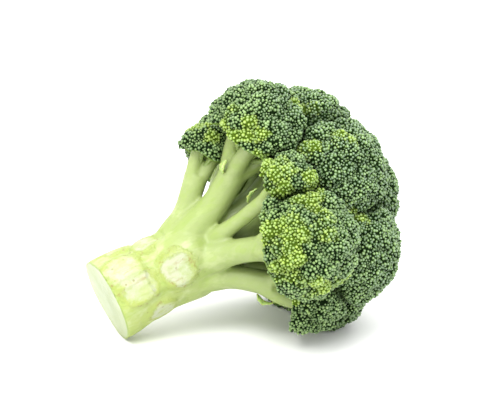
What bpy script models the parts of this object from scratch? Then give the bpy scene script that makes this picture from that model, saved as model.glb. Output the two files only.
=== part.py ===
"""A head of broccoli, cut from the plant across its stalk and lying on its side.

Everything is laid out as the plant grew, upright along +Z from the middle of the cut butt, with +X on the side
that ends up underneath. rest_on_surface() then finds how the head lies and turns the whole plant that way.

Pieces: the stalk, a forked stem for every floret, the crown of flower buds on every stem, and a few small leaves.
"""

import math
from collections import namedtuple

import bmesh
import bpy
import numpy as np
from mathutils import Matrix, Vector, noise

# The stalk, in metres.
BUTT_RADIUS = 0.0215
BUTT_SLOPE = 0.15
BUTT_FACES = -114
WAIST_RADIUS = 0.0185
WAIST_HEIGHT = 0.026
FORK_RADIUS = 0.0205
FORK_HEIGHT = 0.046
COLUMN_RADIUS = 0.0125
COLUMN_HEIGHT = 0.068
TIP_RADIUS = 0.0070
STALK_HEIGHT = 0.124
STALK_SIDES = 36
STALK_RINGS = 24

# The dome that the crowns make together.
DOME_RADIUS = 0.070
DOME_HEIGHT = 0.088

# What keeps pieces apart, and how deep the crowns reach down round their stems.
CLEARANCE = 0.00035
ROOM = 0.0005
WELD = 0.00003
CROWN_DROP = 0.22
CROWN_DEPTH = 0.42
LOBE_RADIUS = 0.0105
LOBE_DEPTH = 0.085

# How a stem forks under its crown.
FORK_BELOW_CROWN = 0.0085
TWIG_SHARE = 0.58
TWIG_SPREAD = 0.36

# How finely the stems are made.
TUBE_SIDES = 12
JOIN_SIZE = 0.0012
STEM_DETAIL = 200

Floret = namedtuple("Floret", "name turn lean radius reach root_height stem_radius twigs")

# turn goes round the stalk from the underside and lean is measured from the stalk, both in degrees. radius is the
# ball that the crown is a cap of, and reach the share of the dome's radius that its top comes to.
FLORETS = (
    Floret("front_low", -52, 89, 0.0212, 0.94, 0.043, 0.0060, 3),
    Floret("front", -95, 85, 0.0270, 1.10, 0.050, 0.0062, 4),
    Floret("front_small", -127, 78, 0.0140, 0.95, 0.054, 0.0038, 3),
    Floret("top_big", -169, 74, 0.0258, 1.07, 0.046, 0.0070, 4),
    Floret("top_small", 166, 103, 0.0130, 0.84, 0.038, 0.0058, 3),
    Floret("back_high", 117, 80, 0.0270, 1.00, 0.050, 0.0062, 3),
    Floret("back", 77, 78, 0.0280, 1.01, 0.044, 0.0064, 4),
    Floret("back_low", 28, 77, 0.0260, 1.02, 0.050, 0.0062, 3),
    Floret("under_small", -20, 74, 0.0195, 0.985, 0.043, 0.0046, 3),
    Floret("tip_front_low", -59, 54, 0.0275, 1.04, 0.064, 0.0056, 3),
    Floret("tip_front", -128, 38, 0.0290, 1.04, 0.071, 0.0056, 4),
    Floret("tip_top", -174, 42, 0.0270, 1.02, 0.066, 0.0056, 3),
    Floret("tip_back_high", 128, 48, 0.0270, 1.00, 0.071, 0.0056, 3),
    Floret("tip_back", 68, 50, 0.0280, 1.01, 0.065, 0.0056, 3),
    Floret("tip_under", 6, 49, 0.0280, 1.00, 0.070, 0.0056, 3),
    Floret("tip", -50, 12, 0.0270, 1.01, None, None, 0),
)

# Where leaves were sliced from the stalk: turn and height of the middle of each scar, how wide its stub was, how
# far the slice stands out from the skin, and how far the slice leans towards the crown.
Scar = namedtuple("Scar", "turn height width stands lean")
SCARS = (
    Scar(-112, 0.0150, 0.0125, 0.0006, 3),
    Scar(-82, 0.0340, 0.0095, 0.0008, -6),
    Scar(-48, 0.0240, 0.0080, 0.0006, 4),
    Scar(-152, 0.0280, 0.0090, 0.0010, 2),
    Scar(152, 0.0150, 0.0100, 0.0008, 4),
    Scar(78, 0.0250, 0.0120, 0.0008, -3),
    Scar(18, 0.0200, 0.0100, 0.0008, 0),
)
STUB_RISE = 0.0032

# Small leaves that grow on the stems: how far along the stem and round it from below the foot is, in degrees, the
# length, the width, and how far the leaf leans away from the stem.
Leaf = namedtuple("Leaf", "name floret along around length width lean")
LEAVES = (
    Leaf("front", "front_small", 0.74, -90, 0.010, 0.0030, 16),
    Leaf("low", "front_low", 0.80, 35, 0.010, 0.0065, 12),
    Leaf("top", "top_big", 0.84, 15, 0.008, 0.0040, 14),
    Leaf("back", "back_low", 0.60, -60, 0.011, 0.0050, 12),
)
LEAF_THICKNESS = 0.0016

STALK_GREEN = (0.62, 0.74, 0.32)
STEM_GREEN = (0.52, 0.66, 0.26)
BUD_GREEN = (0.10, 0.19, 0.07)
LEAF_GREEN = (0.34, 0.52, 0.12)

UP = Vector((0, 0, 1))


def clear_scene():
    for obj in list(bpy.data.objects):
        bpy.data.objects.remove(obj)


def material(name, colour, roughness):
    made = bpy.data.materials.new(name)
    made.use_nodes = True
    shader = made.node_tree.nodes["Principled BSDF"]
    shader.inputs["Base Color"].default_value = (*colour, 1)
    shader.inputs["Roughness"].default_value = roughness
    shader.inputs["Metallic"].default_value = 0
    return made


def object_of(name, bm, finish=None):
    """A new object with the mesh of bm, which is freed."""
    mesh = bpy.data.meshes.new(name)
    bm.to_mesh(mesh)
    bm.free()
    mesh.shade_smooth()
    mesh.set_sharp_from_angle(angle=math.radians(50))
    if finish:
        mesh.materials.append(finish)
    obj = bpy.data.objects.new(name, mesh)
    bpy.context.scene.collection.objects.link(obj)
    return obj


def evaluated_bmesh(obj):
    """The object's mesh with its modifiers, as a bmesh."""
    bpy.context.view_layer.update()
    graph = bpy.context.evaluated_depsgraph_get()
    bm = bmesh.new()
    bm.from_object(obj, graph)
    return bm


def around(turn, radius, height):
    """The point at that turn in degrees, distance from the stalk's axis and height."""
    angle = math.radians(turn)
    return Vector((radius * math.cos(angle), radius * math.sin(angle), height))


def dome_direction(floret):
    return Matrix.Rotation(math.radians(floret.turn), 3, "Z") @ (
        Matrix.Rotation(math.radians(floret.lean), 3, "Y") @ UP
    )


def ball_centre(floret):
    """The middle of the ball that the crown is a cap of."""
    return Vector((0, 0, DOME_HEIGHT)) + dome_direction(floret) * (
        floret.reach * DOME_RADIUS - floret.radius
    )


def stalk_radius(height):
    """The stalk's radius at a height, eased between the named sections."""
    heights = (0, WAIST_HEIGHT, FORK_HEIGHT, COLUMN_HEIGHT, STALK_HEIGHT)
    radii = (BUTT_RADIUS, WAIST_RADIUS, FORK_RADIUS, COLUMN_RADIUS, TIP_RADIUS)
    for low, high, start, end in zip(heights, heights[1:], radii, radii[1:]):
        if height <= high:
            share = (height - low) / (high - low)
            share = share * share * (3 - 2 * share)
            return start + (end - start) * share
    return TIP_RADIUS


def cut(bm, point, normal):
    """Removes what lies beyond the plane, and closes the cut with one face."""
    geometry = bm.verts[:] + bm.edges[:] + bm.faces[:]
    made = bmesh.ops.bisect_plane(bm, geom=geometry, plane_co=point, plane_no=normal, clear_outer=True)
    rim = [e for e in made["geom_cut"] if isinstance(e, bmesh.types.BMEdge)]
    if rim:
        bmesh.ops.edgeloop_fill(bm, edges=rim)


def inflated(bm, distance):
    """Moves the faces outwards by the distance."""
    bm.normal_update()
    moves = [v.normal * distance * min(v.calc_shell_factor(), 3) for v in bm.verts]
    for vertex, move in zip(bm.verts, moves):
        vertex.co += move
    return bm


def add_cutter(name, bm, collection):
    """A hidden helper that Boolean modifiers subtract."""
    obj = object_of(name, bm)
    bpy.context.scene.collection.objects.unlink(obj)
    collection.objects.link(obj)
    obj.hide_render = True
    obj.display_type = "WIRE"
    return obj


def subtract(obj, cutter):
    """Subtracts an object, or all the objects of a collection."""
    modifier = obj.modifiers.new("Room for " + cutter.name, "BOOLEAN")
    modifier.operation = "DIFFERENCE"
    modifier.solver = "EXACT"
    modifier.use_self = True
    if isinstance(cutter, bpy.types.Collection):
        modifier.operand_type = "COLLECTION"
        modifier.collection = cutter
    else:
        modifier.object = cutter


def islands(bm):
    """The connected groups of faces, the largest first."""
    left, groups = set(bm.faces), []
    while left:
        group, edge = set(), [left.pop()]
        while edge:
            face = edge.pop()
            group.add(face)
            for neighbour in {f for e in face.edges for f in e.link_faces} & left:
                left.discard(neighbour)
                edge.append(neighbour)
        groups.append(group)
    return sorted(groups, key=lambda group: -sum(f.calc_area() for f in group))


def settle(obj):
    """Applies the object's modifiers, and drops any scrap that a cut left loose."""
    bm = evaluated_bmesh(obj)
    bmesh.ops.remove_doubles(bm, verts=bm.verts, dist=WELD)
    bmesh.ops.dissolve_degenerate(bm, edges=bm.edges, dist=WELD)
    scraps = [f for group in islands(bm)[1:] for f in group]
    bmesh.ops.delete(bm, geom=scraps, context="FACES")
    obj.modifiers.clear()
    bm.to_mesh(obj.data)
    bm.free()


def make_stalk(finish):
    """The thick stalk, from its cut butt to the tip inside the topmost crown."""
    bm = bmesh.new()
    heights = [STALK_HEIGHT * i / STALK_RINGS for i in range(STALK_RINGS + 1)]
    rim = [bm.verts.new((stalk_radius(h), 0, h)) for h in heights]
    line = [bm.verts.new((0, 0, 0)), *rim, bm.verts.new((0, 0, STALK_HEIGHT + TIP_RADIUS / 2))]
    edges = [bm.edges.new(pair) for pair in zip(line, line[1:])]
    bmesh.ops.spin(
        bm, geom=line + edges, cent=(0, 0, 0), axis=UP, angle=2 * math.pi, steps=STALK_SIDES, use_merge=True
    )
    bmesh.ops.remove_doubles(bm, verts=bm.verts, dist=1e-5)
    for vertex in bm.verts:
        turn = math.atan2(vertex.co.y, vertex.co.x)
        share = min(vertex.co.z / FORK_HEIGHT, 1)
        swell = 1 + 0.030 * math.cos(3 * turn + 0.6) + 0.015 * math.cos(5 * turn + 9 * vertex.co.z / STALK_HEIGHT)
        swell += 0.02 * share * noise.noise(vertex.co * 60)
        vertex.co.x *= swell
        vertex.co.y *= swell
        low = max(0, 1 - vertex.co.z / WAIST_HEIGHT)
        vertex.co.z += BUTT_SLOPE * low * vertex.co.dot(around(BUTT_FACES, 1, 0))
    for scar in SCARS:
        raise_and_slice(bm, scar)
    bmesh.ops.recalc_face_normals(bm, faces=bm.faces)
    return object_of("stalk", bm, finish)


def raise_and_slice(bm, scar):
    """Raises the stub of a leaf on the stalk, and slices it flat."""
    middle = around(scar.turn, stalk_radius(scar.height), scar.height)
    outwards = around(scar.turn, 1, math.tan(math.radians(scar.lean))).normalized()
    for vertex in bm.verts:
        away = (vertex.co - middle).length / scar.width
        side = vertex.co.to_2d().dot(middle.to_2d())
        if away > 1.8 or side <= 0:
            continue
        radial = Vector((vertex.co.x, vertex.co.y, 0)).normalized()
        base = vertex.co.copy()
        vertex.co += radial * (STUB_RISE * math.exp(-(away**2)))
        above = (vertex.co - middle).dot(outwards) - scar.stands
        if above > 0:
            vertex.co -= radial * (above / radial.dot(outwards))
        if vertex.co.to_2d().length < base.to_2d().length - STUB_RISE / 4:
            vertex.co = base - radial * (STUB_RISE / 4)


def stem_path(floret):
    """The stem's root inside the stalk, the bend outside it, the fork, and the direction in which it ends."""
    centre = ball_centre(floret)
    root = around(floret.turn, 0.45 * stalk_radius(floret.root_height), floret.root_height)
    axis = (centre - root).normalized()
    fork = centre - axis * (CROWN_DROP * floret.radius + FORK_BELOW_CROWN)
    bend = root.lerp(fork, 0.5) - around(floret.turn, 0.06 * (fork - root).length, 0)
    return root, bend, fork, axis


def add_tube(bm, points, radii):
    """A closed tube through the points, with one radius for each."""
    rings = []
    for i, (point, radius) in enumerate(zip(points, radii)):
        ahead = points[min(i + 1, len(points) - 1)] - points[max(i - 1, 0)]
        turned = UP.rotation_difference(ahead).to_matrix().to_4x4()
        ring = bmesh.ops.create_circle(
            bm, cap_ends=False, segments=TUBE_SIDES, radius=radius, matrix=Matrix.Translation(point) @ turned
        )
        rings.append(ring["verts"])
    for ring, following in zip(rings, rings[1:]):
        for i in range(TUBE_SIDES):
            corners = (ring[i - 1], ring[i], following[i], following[i - 1])
            bm.faces.new(corners)
    bm.faces.new(rings[0])
    bm.faces.new(rings[-1])


def curved(points, steps):
    """A smooth line through three or more points."""
    line = []
    whole = [2 * points[0] - points[1], *points, 2 * points[-1] - points[-2]]
    for before, start, end, after in zip(whole, whole[1:], whole[2:], whole[3:]):
        for i in range(steps):
            t = i / steps
            line.append(
                0.5
                * (
                    2 * start
                    + (end - before) * t
                    + (2 * before - 5 * start + 4 * end - after) * t**2
                    + (3 * start - before - 3 * end + after) * t**3
                )
            )
    return [*line, points[-1]]


def stem_tubes(floret, fatter=0):
    """The stem as a bent tube and one tube for each twig, which run on into the crown."""
    root, bend, fork, axis = stem_path(floret)
    centre = ball_centre(floret)
    size = floret.stem_radius
    bm = bmesh.new()
    radii = [size * (1.12 - 0.12 * math.sin(math.pi * i / 8)) + fatter for i in range(9)]
    add_tube(bm, curved([root, bend, fork], 4), radii)
    side = axis.orthogonal().normalized()
    for i in range(floret.twigs):
        turned = Matrix.Rotation(2 * math.pi * (i + 0.3) / floret.twigs, 3, axis)
        spread = turned @ side * (TWIG_SPREAD * floret.radius)
        end = centre + spread + axis * (0.05 * floret.radius)
        inner = fork - axis * size + spread * 0.15
        middle = inner.lerp(end, 0.5) + spread * 0.12
        radii = [TWIG_SHARE * size * (1.15 - 0.03 * j) + fatter for j in range(7)]
        add_tube(bm, curved([inner, middle, end], 3), radii)
    bmesh.ops.recalc_face_normals(bm, faces=bm.faces)
    return bm


def make_stem(floret, finish):
    """A stem that leaves the stalk, bends outwards and forks into twigs, joined into one smooth body."""
    obj = object_of("stem_" + floret.name, stem_tubes(floret), finish)
    join = obj.modifiers.new("Join", "REMESH")
    join.mode = "VOXEL"
    join.voxel_size = JOIN_SIZE
    ease = obj.modifiers.new("Ease", "SMOOTH")
    ease.iterations = 4
    fewer = obj.modifiers.new("Fewer", "DECIMATE")
    joined = evaluated_bmesh(obj)
    fewer.ratio = STEM_DETAIL / (2 * len(joined.faces))
    joined.free()
    settle(obj)
    return obj


def lobed(floret):
    """A ball whose surface swells into lobes, spaced evenly over it as seeds are on a flower head."""
    bm = bmesh.new()
    finer = 4 if floret.radius > 0.022 else 3
    bmesh.ops.create_icosphere(bm, subdivisions=finer, radius=1)
    count = round(4 * (floret.radius / LOBE_RADIUS) ** 2)
    lobes = []
    for i in range(count):
        height = 1 - 2 * (i + 0.5) / count
        turn = i * math.pi * (3 - math.sqrt(5)) + math.radians(floret.turn)
        lobes.append(around(math.degrees(turn), math.sqrt(1 - height * height), height))
    widest = 2 * math.sqrt(math.pi / count) / math.sqrt(math.pi) * 1.1
    for vertex in bm.verts:
        away = min((vertex.co - lobe).length for lobe in lobes)
        swell = 1 - LOBE_DEPTH * min(away / widest, 1.2) ** 2
        vertex.co *= floret.radius * swell
    return bm


def make_crown(floret, finish):
    """The cap of flower buds: a lobed ball, flat where it presses against its neighbours and open below."""
    centre, direction = ball_centre(floret), dome_direction(floret)
    bm = lobed(floret)
    bmesh.ops.translate(bm, verts=bm.verts, vec=centre)
    for other in FLORETS:
        apart = ball_centre(other) - centre
        if other == floret or apart.length >= floret.radius + other.radius:
            continue
        share = (apart.length_squared + floret.radius**2 - other.radius**2) / (2 * apart.length)
        cut(bm, centre + apart.normalized() * (share - CLEARANCE / 2), apart.normalized())
    if floret.twigs:
        axis = stem_path(floret)[3]
        cut(bm, centre - axis * (CROWN_DROP * floret.radius), -axis)
    cut(bm, centre - direction * (CROWN_DEPTH * floret.radius), -direction)
    bmesh.ops.recalc_face_normals(bm, faces=bm.faces)
    return object_of("crown_" + floret.name, bm, finish)


def leaf_place(leaf):
    """Where a leaf stands on its stem: its foot on the stem's side, and its length along the stem."""
    floret = next(f for f in FLORETS if f.name == leaf.floret)
    root, bend, fork, axis = stem_path(floret)
    line = curved([root, bend, fork], 20)
    foot = line[round(leaf.along * 40)]
    along = (fork - foot).normalized()
    below = -(UP - along * UP.dot(along)).normalized()
    side = Matrix.Rotation(math.radians(leaf.around), 3, along) @ below
    lean = math.radians(leaf.lean)
    up = along * math.cos(lean) + side * math.sin(lean)
    out = side * math.cos(lean) - along * math.sin(lean)
    turned = Matrix((out, up.cross(out), up)).transposed().to_4x4()
    return Matrix.Translation(foot + side * (floret.stem_radius + ROOM + LEAF_THICKNESS)) @ turned


def make_leaf(leaf, finish):
    """A small pointed leaf, a little cupped, with its foot close to a stem."""
    bm = bmesh.new()
    bmesh.ops.create_icosphere(bm, subdivisions=3, radius=0.5)
    for vertex in bm.verts:
        along = vertex.co.z + 0.5
        narrow = math.sin(math.pi * min(along, 0.999)) ** 0.3 * (1.1 - 0.5 * along)
        vertex.co.y *= leaf.width * narrow
        cupped = 0.25 * leaf.width * math.sin(math.pi * along)
        vertex.co.x = vertex.co.x * LEAF_THICKNESS * 1.4 + cupped
        vertex.co.z = along * leaf.length
    bmesh.ops.transform(bm, matrix=leaf_place(leaf), verts=bm.verts)
    return object_of("leaf_" + leaf.name, bm, finish)


def mass_points(obj):
    """The object's points, its volume and its volume's centre."""
    bm = evaluated_bmesh(obj)
    bmesh.ops.triangulate(bm, faces=bm.faces)
    points = np.array([v.co for v in bm.verts])
    corners = np.array([[v.co for v in f.verts] for f in bm.faces])
    bm.free()
    parts = np.einsum("ij,ij->i", corners[:, 0], np.cross(corners[:, 1], corners[:, 2])) / 6
    centre = (corners.sum(1) / 4 * parts[:, None]).sum(0) / parts.sum()
    return points, parts.sum(), centre


def rest_on_surface(pieces):
    """The matrix that lays the plant down on a hull face under its centre of mass: the widest of those on its +X side
    that the butt touches. The butt is towards -X and the middle of the box is over the origin."""
    facts = [mass_points(obj) for obj in pieces]
    points = np.concatenate([p for p, _, _ in facts])
    volume = sum(v for _, v, _ in facts)
    centre = Vector(sum(c * v for _, v, c in facts) / volume)
    hull = bmesh.new()
    for point in points:
        hull.verts.new(point)
    bmesh.ops.convex_hull(hull, input=hull.verts)
    hull.normal_update()
    best, widest = None, 0
    for face in hull.faces:
        below = centre + face.normal * (face.verts[0].co - centre).dot(face.normal)
        inside = all(
            (loop.link_loop_next.vert.co - loop.vert.co).cross(below - loop.vert.co).dot(face.normal) > 0
            for loop in face.loops
        )
        if inside and face.normal.x > 0.7 and face.normal.z < -0.1 and face.calc_area() > widest:
            best, widest = face.normal.copy(), face.calc_area()
    hull.free()
    along = (UP - best * UP.dot(best)).normalized()
    turned = Matrix((along, (-best).cross(along), -best)).to_4x4()
    placed = points @ np.array(turned.to_3x3()).T
    low, high = placed.min(0), placed.max(0)
    middle = Vector(((low[0] + high[0]) / 2, (low[1] + high[1]) / 2, low[2]))
    return Matrix.Translation(-middle) @ turned


def main():
    clear_scene()
    stalk_finish = material("stalk_skin", STALK_GREEN, 0.45)
    stem_finish = material("stem_skin", STEM_GREEN, 0.45)
    bud_finish = material("buds", BUD_GREEN, 0.6)
    leaf_finish = material("leaf", LEAF_GREEN, 0.5)
    crown_rooms = bpy.data.collections.new("room for the crowns")
    bpy.context.scene.collection.children.link(crown_rooms)
    crowns = []
    for floret in FLORETS:
        crown = make_crown(floret, bud_finish)
        add_cutter("crown_room_" + floret.name, inflated(evaluated_bmesh(crown), CLEARANCE), crown_rooms)
        crowns.append(crown)

    stalk = make_stalk(stalk_finish)
    subtract(stalk, crown_rooms)
    settle(stalk)
    stem_rooms = bpy.data.collections.new("room for the stems")
    bpy.context.scene.collection.children.link(stem_rooms)
    add_cutter("stalk_room", inflated(evaluated_bmesh(stalk), ROOM), stem_rooms)
    stems = []
    for floret in FLORETS:
        if floret.twigs:
            stem = make_stem(floret, stem_finish)
            subtract(stem, crown_rooms)
            subtract(stem, stem_rooms)
            settle(stem)
            add_cutter("stem_room_" + floret.name, stem_tubes(floret, ROOM), stem_rooms)
            stems.append(stem)
    leaves = [make_leaf(leaf, leaf_finish) for leaf in LEAVES]
    for leaf in leaves:
        subtract(leaf, crown_rooms)
        subtract(leaf, stem_rooms)
        settle(leaf)
    pieces = [stalk, *stems, *crowns, *leaves]
    for cutter in [*crown_rooms.objects, *stem_rooms.objects]:
        bpy.data.objects.remove(cutter)

    plant = bpy.data.objects.new("plant", None)
    bpy.context.scene.collection.objects.link(plant)
    resting = rest_on_surface(pieces)
    for obj in pieces:
        obj.parent = plant
    plant.matrix_world = resting


main()
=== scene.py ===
"""The looks of a head of broccoli that lies on its side, built over its CAD frame.

The plant is laid out as it grew, upright along +Z from the middle of its cut butt, and LIES then lays it down where
the CAD part lies. The stalk and its stems are one grown piece, and each floret has a crown of closed flower buds.
"""

import math
from collections import namedtuple

import bmesh
import bpy
import numpy as np
from mathutils import Matrix, Vector, noise
from mathutils.bvhtree import BVHTree


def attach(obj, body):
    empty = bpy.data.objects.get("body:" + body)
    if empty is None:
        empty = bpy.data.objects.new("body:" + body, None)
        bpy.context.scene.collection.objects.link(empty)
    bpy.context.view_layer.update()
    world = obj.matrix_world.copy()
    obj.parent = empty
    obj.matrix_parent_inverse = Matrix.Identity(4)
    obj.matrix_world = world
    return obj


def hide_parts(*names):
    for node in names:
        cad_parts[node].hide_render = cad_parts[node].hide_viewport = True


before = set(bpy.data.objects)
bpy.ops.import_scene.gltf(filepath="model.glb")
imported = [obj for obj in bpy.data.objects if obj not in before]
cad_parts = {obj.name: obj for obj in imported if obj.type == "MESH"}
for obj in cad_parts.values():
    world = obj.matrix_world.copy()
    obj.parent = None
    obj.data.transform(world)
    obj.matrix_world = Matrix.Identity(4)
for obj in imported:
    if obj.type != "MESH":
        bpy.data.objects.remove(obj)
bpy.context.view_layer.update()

bl_info = {
    "name": "Broccoli Head",
    "version": (1, 0, 0),
    "blender": (4, 5, 0),
    "location": "3D View > Sidebar > Broccoli",
    "description": "Builds the stalk, stems, crowns of buds and leaves of a head of broccoli",
    "category": "Add Mesh",
}

# How the plant lies: its own upright axes and the middle of its butt, in the frame.
LIES = Matrix(
    (
        (0.39409, -0.030554, 0.918564, -0.070544),
        (0.077298, 0.997008, 0.0, 0.004077),
        (-0.915816, 0.071003, 0.395273, 0.021013),
        (0.0, 0.0, 0.0, 1.0),
    )
)

# The stalk's radius at each height, and the dome that the crowns make together, as in the CAD part.
STALK_HEIGHTS = (0.0, 0.026, 0.046, 0.068, 0.124)
STALK_RADII = (0.0215, 0.0185, 0.0205, 0.0125, 0.0070)
BUTT_SLOPE = 0.15
BUTT_FACES = -114
DOME_RADIUS = 0.070
DOME_HEIGHT = 0.088
CROWN_DROP = 0.22
CROWN_DEPTH = 0.42
FORK_BELOW_CROWN = 0.0085
TWIG_SPREAD = 0.36

Floret = namedtuple("Floret", "name turn lean radius reach root_height stem_radius twigs")
FLORETS = (
    Floret("front_low", -52, 89, 0.0212, 0.94, 0.043, 0.0060, 3),
    Floret("front", -95, 85, 0.0270, 1.10, 0.050, 0.0062, 4),
    Floret("front_small", -127, 78, 0.0140, 0.95, 0.054, 0.0038, 3),
    Floret("top_big", -169, 74, 0.0258, 1.07, 0.046, 0.0070, 4),
    Floret("top_small", 166, 103, 0.0130, 0.84, 0.038, 0.0058, 3),
    Floret("back_high", 117, 80, 0.0270, 1.00, 0.050, 0.0062, 3),
    Floret("back", 77, 78, 0.0280, 1.01, 0.044, 0.0064, 4),
    Floret("back_low", 28, 77, 0.0260, 1.02, 0.050, 0.0062, 3),
    Floret("under_small", -20, 74, 0.0195, 0.985, 0.043, 0.0046, 3),
    Floret("tip_front_low", -59, 54, 0.0275, 1.04, 0.064, 0.0056, 3),
    Floret("tip_front", -128, 38, 0.0290, 1.04, 0.071, 0.0056, 4),
    Floret("tip_top", -174, 42, 0.0270, 1.02, 0.066, 0.0056, 3),
    Floret("tip_back_high", 128, 48, 0.0270, 1.00, 0.071, 0.0056, 3),
    Floret("tip_back", 68, 50, 0.0280, 1.01, 0.065, 0.0056, 3),
    Floret("tip_under", 6, 49, 0.0280, 1.00, 0.070, 0.0056, 3),
    Floret("tip", -50, 12, 0.0270, 1.01, None, None, 0),
)

# Where leaves were sliced from the stalk: turn and height of the middle, half width across and along the stalk, how
# far the slice stands out from the skin, and how far it leans towards the crown.
Scar = namedtuple("Scar", "turn height across along stands lean")
SCARS = (
    Scar(-141, 0.0110, 0.0085, 0.0100, 0.0004, 4),
    Scar(-111, 0.0150, 0.0080, 0.0110, 0.0006, 2),
    Scar(-108, 0.0365, 0.0085, 0.0085, 0.0006, -6),
    Scar(-50, 0.0220, 0.0060, 0.0075, 0.0004, 3),
    Scar(-176, 0.0280, 0.0070, 0.0060, 0.0008, 2),
    Scar(150, 0.0140, 0.0085, 0.0090, 0.0006, 4),
    Scar(78, 0.0250, 0.0095, 0.0095, 0.0006, -3),
    Scar(18, 0.0190, 0.0080, 0.0085, 0.0006, 0),
    Scar(112, 0.0360, 0.0060, 0.0060, 0.0006, -4),
)
STUB_RISE = 0.0030
# A point this many half widths from the nearest scar, or further, has no scar near it.
NO_SCAR = 9.0

# Patches of young, yellow-green buds: turn, lean and half width on the dome.
PATCHES = (
    (-159, 93, 0.0060),
    (-153, 83, 0.0036),
    (-140, 88, 0.0070),
    (-128, 85, 0.0056),
    (-131, 78, 0.0030),
    (-139, 61, 0.0048),
    (-136, 50, 0.0034),
    (-121, 71, 0.0056),
    (-117, 66, 0.0034),
    (-113, 79, 0.0052),
    (-108, 96, 0.0062),
    (-106, 90, 0.0052),
    (-98, 95, 0.0068),
    (-102, 75, 0.0034),
    (-83, 89, 0.0056),
    (-75, 78, 0.0040),
    (-96, 55, 0.0044),
    (-70, 99, 0.0036),
    (-156, 111, 0.0048),
    (-162, 56, 0.0036),
    (168, 96, 0.0060),
    (150, 72, 0.0044),
    (122, 90, 0.0070),
    (102, 66, 0.0048),
    (80, 92, 0.0066),
    (60, 60, 0.0044),
    (40, 88, 0.0062),
    (14, 58, 0.0048),
    (-30, 50, 0.0044),
    (60, 22, 0.0040),
)

# Small leaves that grow on the stems, as in the CAD part.
Leaf = namedtuple("Leaf", "name floret along around length width lean")
LEAVES = (
    Leaf("front", "front_small", 0.74, -90, 0.010, 0.0030, 16),
    Leaf("low", "front_low", 0.80, 35, 0.010, 0.0065, 12),
    Leaf("top", "top_big", 0.84, 15, 0.008, 0.0040, 14),
    Leaf("back", "back_low", 0.60, -60, 0.011, 0.0050, 12),
)

UP = Vector((0, 0, 1))
# How far a crown's core stays above the floor, which leaves room for its buds.
FLOOR_GAP = 0.0014
# The share of a crown's bake map that its buds take.
BUDS_SHARE = 0.72
SEED = 7
GOLDEN_TURN = 2.39996


def colour_property(name, description, default):
    return bpy.props.FloatVectorProperty(
        name=name, description=description, size=4, subtype="COLOR", default=(*default, 1)
    )


def length_property(name, description, default):
    return bpy.props.FloatProperty(name=name, description=description, default=default, precision=5, unit="LENGTH")


def angle_property(name, description, degrees):
    return bpy.props.FloatProperty(
        name=name, description=description, default=math.radians(degrees), subtype="ANGLE"
    )


class StageSettings(bpy.types.PropertyGroup):
    """The floor, the light and the camera."""

    floor_colour: colour_property("Floor", "Colour of the floor", (0.92, 0.92, 0.92))
    sky: bpy.props.FloatProperty(name="Sky", description="Strength of the even light from all round", default=1.55)
    key: bpy.props.FloatProperty(
        name="Key light", description="Power of the large light above", default=15.0, unit="POWER"
    )
    distance: length_property("Distance", "From the camera to what it aims at", 0.75)
    turn: angle_property("Turn", "How far the camera stands round to the left", 17)
    rise: angle_property("Rise", "How far the camera looks down", 15)
    lens: bpy.props.FloatProperty(name="Lens", description="Focal length in millimetres", default=108.0)


class StalkSettings(bpy.types.PropertyGroup):
    """The stalk and its stems."""

    fineness: length_property("Fineness", "Size of the mesh's faces", 0.0009)
    skin: colour_property("Skin", "Colour of the skin near the stems", (0.28, 0.345, 0.125))
    pale_skin: colour_property("Pale skin", "Colour of the skin near the butt", (0.345, 0.415, 0.108))
    flesh: colour_property("Flesh", "Colour of the flesh where leaves were sliced off", (0.430, 0.460, 0.320))


class BudSettings(bpy.types.PropertyGroup):
    """The crowns of flower buds."""

    spacing: length_property("Spacing", "Least distance between two buds", 0.00112)
    size: length_property("Size", "Width of a bud", 0.00166)
    cluster: length_property("Cluster", "Width of the smallest bunches of buds", 0.0056)
    bunch: length_property("Bunch", "Width of the larger bunches", 0.0125)
    dark: colour_property("Dark", "Colour of the darkest buds", (0.055, 0.120, 0.030))
    light: colour_property("Light", "Colour of the lightest green buds", (0.21, 0.34, 0.100))
    young: colour_property("Young", "Colour of young buds", (0.31, 0.44, 0.062))
    # Painted shade: a near black painted at the feet of the buds, on the core between them and in the hollows.
    gap: colour_property("Gaps", "Colour between the buds", (0.004, 0.012, 0.002))


def around(turn, radius, height):
    """The point at that turn in degrees, distance from the stalk's axis and height."""
    angle = math.radians(turn)
    return Vector((radius * math.cos(angle), radius * math.sin(angle), height))


def dome_direction(turn, lean):
    return Matrix.Rotation(math.radians(turn), 3, "Z") @ (Matrix.Rotation(math.radians(lean), 3, "Y") @ UP)


def ball_centre(floret):
    """The middle of the ball that the crown is a cap of."""
    reach = floret.reach * DOME_RADIUS - floret.radius
    return Vector((0, 0, DOME_HEIGHT)) + dome_direction(floret.turn, floret.lean) * reach


def eased(share):
    return share * share * (3 - 2 * share)


def stalk_radius(height):
    """The stalk's radius at a height, eased between its sections."""
    for low, high, start, end in zip(STALK_HEIGHTS, STALK_HEIGHTS[1:], STALK_RADII, STALK_RADII[1:]):
        if height <= high:
            return start + (end - start) * eased(max(0, height - low) / (high - low))
    return STALK_RADII[-1]


def stem_line(floret):
    """The stem's root inside the stalk, the bend outside it, the fork, and the direction in which it ends."""
    centre = ball_centre(floret)
    root_height = floret.root_height or STALK_HEIGHTS[-1] - 0.010
    root = around(floret.turn, 0.45 * stalk_radius(root_height), root_height)
    axis = (centre - root).normalized()
    fork = centre - axis * (CROWN_DROP * floret.radius + FORK_BELOW_CROWN)
    bend = root.lerp(fork, 0.5) - around(floret.turn, 0.06 * (fork - root).length, 0)
    return root, bend, fork, axis


def link(name, mesh):
    obj = bpy.data.objects.new(name, mesh)
    bpy.context.scene.collection.objects.link(obj)
    return obj


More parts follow.
